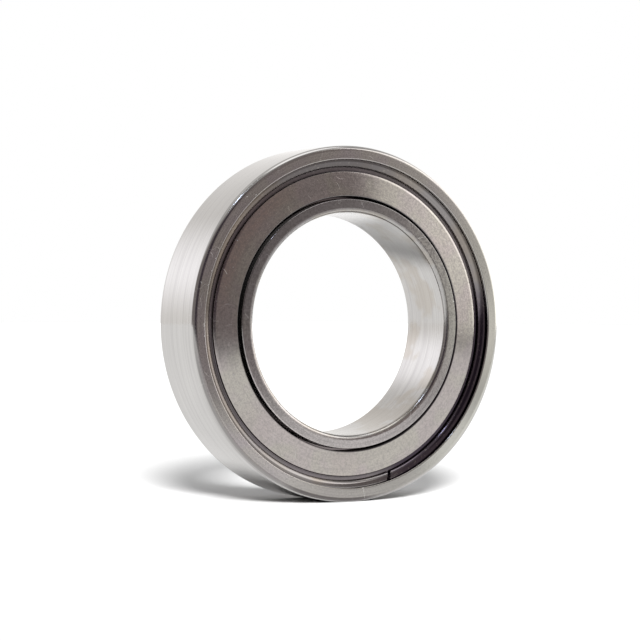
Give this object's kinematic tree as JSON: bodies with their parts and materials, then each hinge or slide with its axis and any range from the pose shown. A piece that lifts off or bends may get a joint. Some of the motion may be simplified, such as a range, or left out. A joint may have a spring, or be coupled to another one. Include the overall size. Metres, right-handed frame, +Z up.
{
  "type": "deep groove ball bearing",
  "caption": "Thin-section deep-groove ball bearing with pressed metal shields held by snap rings, for a 15 mm shaft and a 24 mm housing bore.",
  "frame": {"origin": "centre of the bearing, on its axis and midway between its two side faces", "axes": "+Y along the bearing's axis, from the front face to the back face; +Z up, with the bearing standing on its rim; +X to the right seen from the front"},
  "size_m": [0.024, 0.005, 0.024],
  "materials": {
    "ring_steel": "fine ground bearing steel, polished on the rim and bore",
    "shield_steel": "satin pressed sheet steel",
    "spring_steel": "dark glossy spring steel",
    "cage_steel": "pressed sheet steel",
    "ball_steel": "mirror polished"
  },
  "bodies": {
    "outer_ring_assembly": {"outer_ring": "ring_steel", "front_shield": "shield_steel", "back_shield": "shield_steel", "front_snap_ring": "spring_steel", "back_snap_ring": "spring_steel"},
    "inner_ring_body": {"inner_ring": "ring_steel"},
    "cage": {"cage_front_half": "cage_steel", "cage_back_half": "cage_steel", "cage_rivet_01": "cage_steel", "cage_rivet_02": "cage_steel", "cage_rivet_03": "cage_steel", "cage_rivet_04": "cage_steel", "cage_rivet_05": "cage_steel", "cage_rivet_06": "cage_steel", "cage_rivet_07": "cage_steel", "cage_rivet_08": "cage_steel", "cage_rivet_09": "cage_steel", "cage_rivet_10": "cage_steel", "cage_rivet_11": "cage_steel", "cage_rivet_12": "cage_steel", "cage_rivet_13": "cage_steel", "cage_rivet_14": "cage_steel"},
    "ball_01_body": {"ball_01": "ball_steel"},
    "ball_02_body": {"ball_02": "ball_steel"},
    "ball_03_body": {"ball_03": "ball_steel"},
    "ball_04_body": {"ball_04": "ball_steel"},
    "ball_05_body": {"ball_05": "ball_steel"},
    "ball_06_body": {"ball_06": "ball_steel"},
    "ball_07_body": {"ball_07": "ball_steel"},
    "ball_08_body": {"ball_08": "ball_steel"},
    "ball_09_body": {"ball_09": "ball_steel"},
    "ball_10_body": {"ball_10": "ball_steel"},
    "ball_11_body": {"ball_11": "ball_steel"},
    "ball_12_body": {"ball_12": "ball_steel"},
    "ball_13_body": {"ball_13": "ball_steel"},
    "ball_14_body": {"ball_14": "ball_steel"}
  },
  "joints": [
    {"name": "inner_ring_spin", "type": "hinge", "parent": "outer_ring_assembly", "child": "inner_ring_body", "pos_m": [0, 0, 0], "axis": [0, 1, 0], "continuous": true},
    {"name": "cage_spin", "type": "hinge", "parent": "outer_ring_assembly", "child": "cage", "pos_m": [0, 0, 0], "axis": [0, 1, 0], "continuous": true},
    {"name": "ball_01_spin", "type": "hinge", "parent": "cage", "child": "ball_01_body", "pos_m": [0, 0, 0.00975], "axis": [0, 1, 0], "continuous": true},
    {"name": "ball_02_spin", "type": "hinge", "parent": "cage", "child": "ball_02_body", "pos_m": [0.00423, 0, 0.00878], "axis": [0, 1, 0], "continuous": true},
    {"name": "ball_03_spin", "type": "hinge", "parent": "cage", "child": "ball_03_body", "pos_m": [0.00762, 0, 0.00608], "axis": [0, 1, 0], "continuous": true},
    {"name": "ball_04_spin", "type": "hinge", "parent": "cage", "child": "ball_04_body", "pos_m": [0.00951, 0, 0.00217], "axis": [0, 1, 0], "continuous": true},
    {"name": "ball_05_spin", "type": "hinge", "parent": "cage", "child": "ball_05_body", "pos_m": [0.00951, 0, -0.00217], "axis": [0, 1, 0], "continuous": true},
    {"name": "ball_06_spin", "type": "hinge", "parent": "cage", "child": "ball_06_body", "pos_m": [0.00762, 0, -0.00608], "axis": [0, 1, 0], "continuous": true},
    {"name": "ball_07_spin", "type": "hinge", "parent": "cage", "child": "ball_07_body", "pos_m": [0.00423, 0, -0.00878], "axis": [0, 1, 0], "continuous": true},
    {"name": "ball_08_spin", "type": "hinge", "parent": "cage", "child": "ball_08_body", "pos_m": [0, 0, -0.00975], "axis": [0, 1, 0], "continuous": true},
    {"name": "ball_09_spin", "type": "hinge", "parent": "cage", "child": "ball_09_body", "pos_m": [-0.00423, 0, -0.00878], "axis": [0, 1, 0], "continuous": true},
    {"name": "ball_10_spin", "type": "hinge", "parent": "cage", "child": "ball_10_body", "pos_m": [-0.00762, 0, -0.00608], "axis": [0, 1, 0], "continuous": true},
    {"name": "ball_11_spin", "type": "hinge", "parent": "cage", "child": "ball_11_body", "pos_m": [-0.00951, 0, -0.00217], "axis": [0, 1, 0], "continuous": true},
    {"name": "ball_12_spin", "type": "hinge", "parent": "cage", "child": "ball_12_body", "pos_m": [-0.00951, 0, 0.00217], "axis": [0, 1, 0], "continuous": true},
    {"name": "ball_13_spin", "type": "hinge", "parent": "cage", "child": "ball_13_body", "pos_m": [-0.00762, 0, 0.00608], "axis": [0, 1, 0], "continuous": true},
    {"name": "ball_14_spin", "type": "hinge", "parent": "cage", "child": "ball_14_body", "pos_m": [-0.00423, 0, 0.00878], "axis": [0, 1, 0], "continuous": true}
  ],
  "couplings": [
    {"joint": "cage_spin", "follows": "inner_ring_spin", "ratio": 0.43895},
    {"joint": "ball_01_spin", "follows": "inner_ring_spin", "ratio": -4.0339},
    {"joint": "ball_02_spin", "follows": "inner_ring_spin", "ratio": -4.0339},
    {"joint": "ball_03_spin", "follows": "inner_ring_spin", "ratio": -4.0339},
    {"joint": "ball_04_spin", "follows": "inner_ring_spin", "ratio": -4.0339},
    {"joint": "ball_05_spin", "follows": "inner_ring_spin", "ratio": -4.0339},
    {"joint": "ball_06_spin", "follows": "inner_ring_spin", "ratio": -4.0339},
    {"joint": "ball_07_spin", "follows": "inner_ring_spin", "ratio": -4.0339},
    {"joint": "ball_08_spin", "follows": "inner_ring_spin", "ratio": -4.0339},
    {"joint": "ball_09_spin", "follows": "inner_ring_spin", "ratio": -4.0339},
    {"joint": "ball_10_spin", "follows": "inner_ring_spin", "ratio": -4.0339},
    {"joint": "ball_11_spin", "follows": "inner_ring_spin", "ratio": -4.0339},
    {"joint": "ball_12_spin", "follows": "inner_ring_spin", "ratio": -4.0339},
    {"joint": "ball_13_spin", "follows": "inner_ring_spin", "ratio": -4.0339},
    {"joint": "ball_14_spin", "follows": "inner_ring_spin", "ratio": -4.0339}
  ]
}
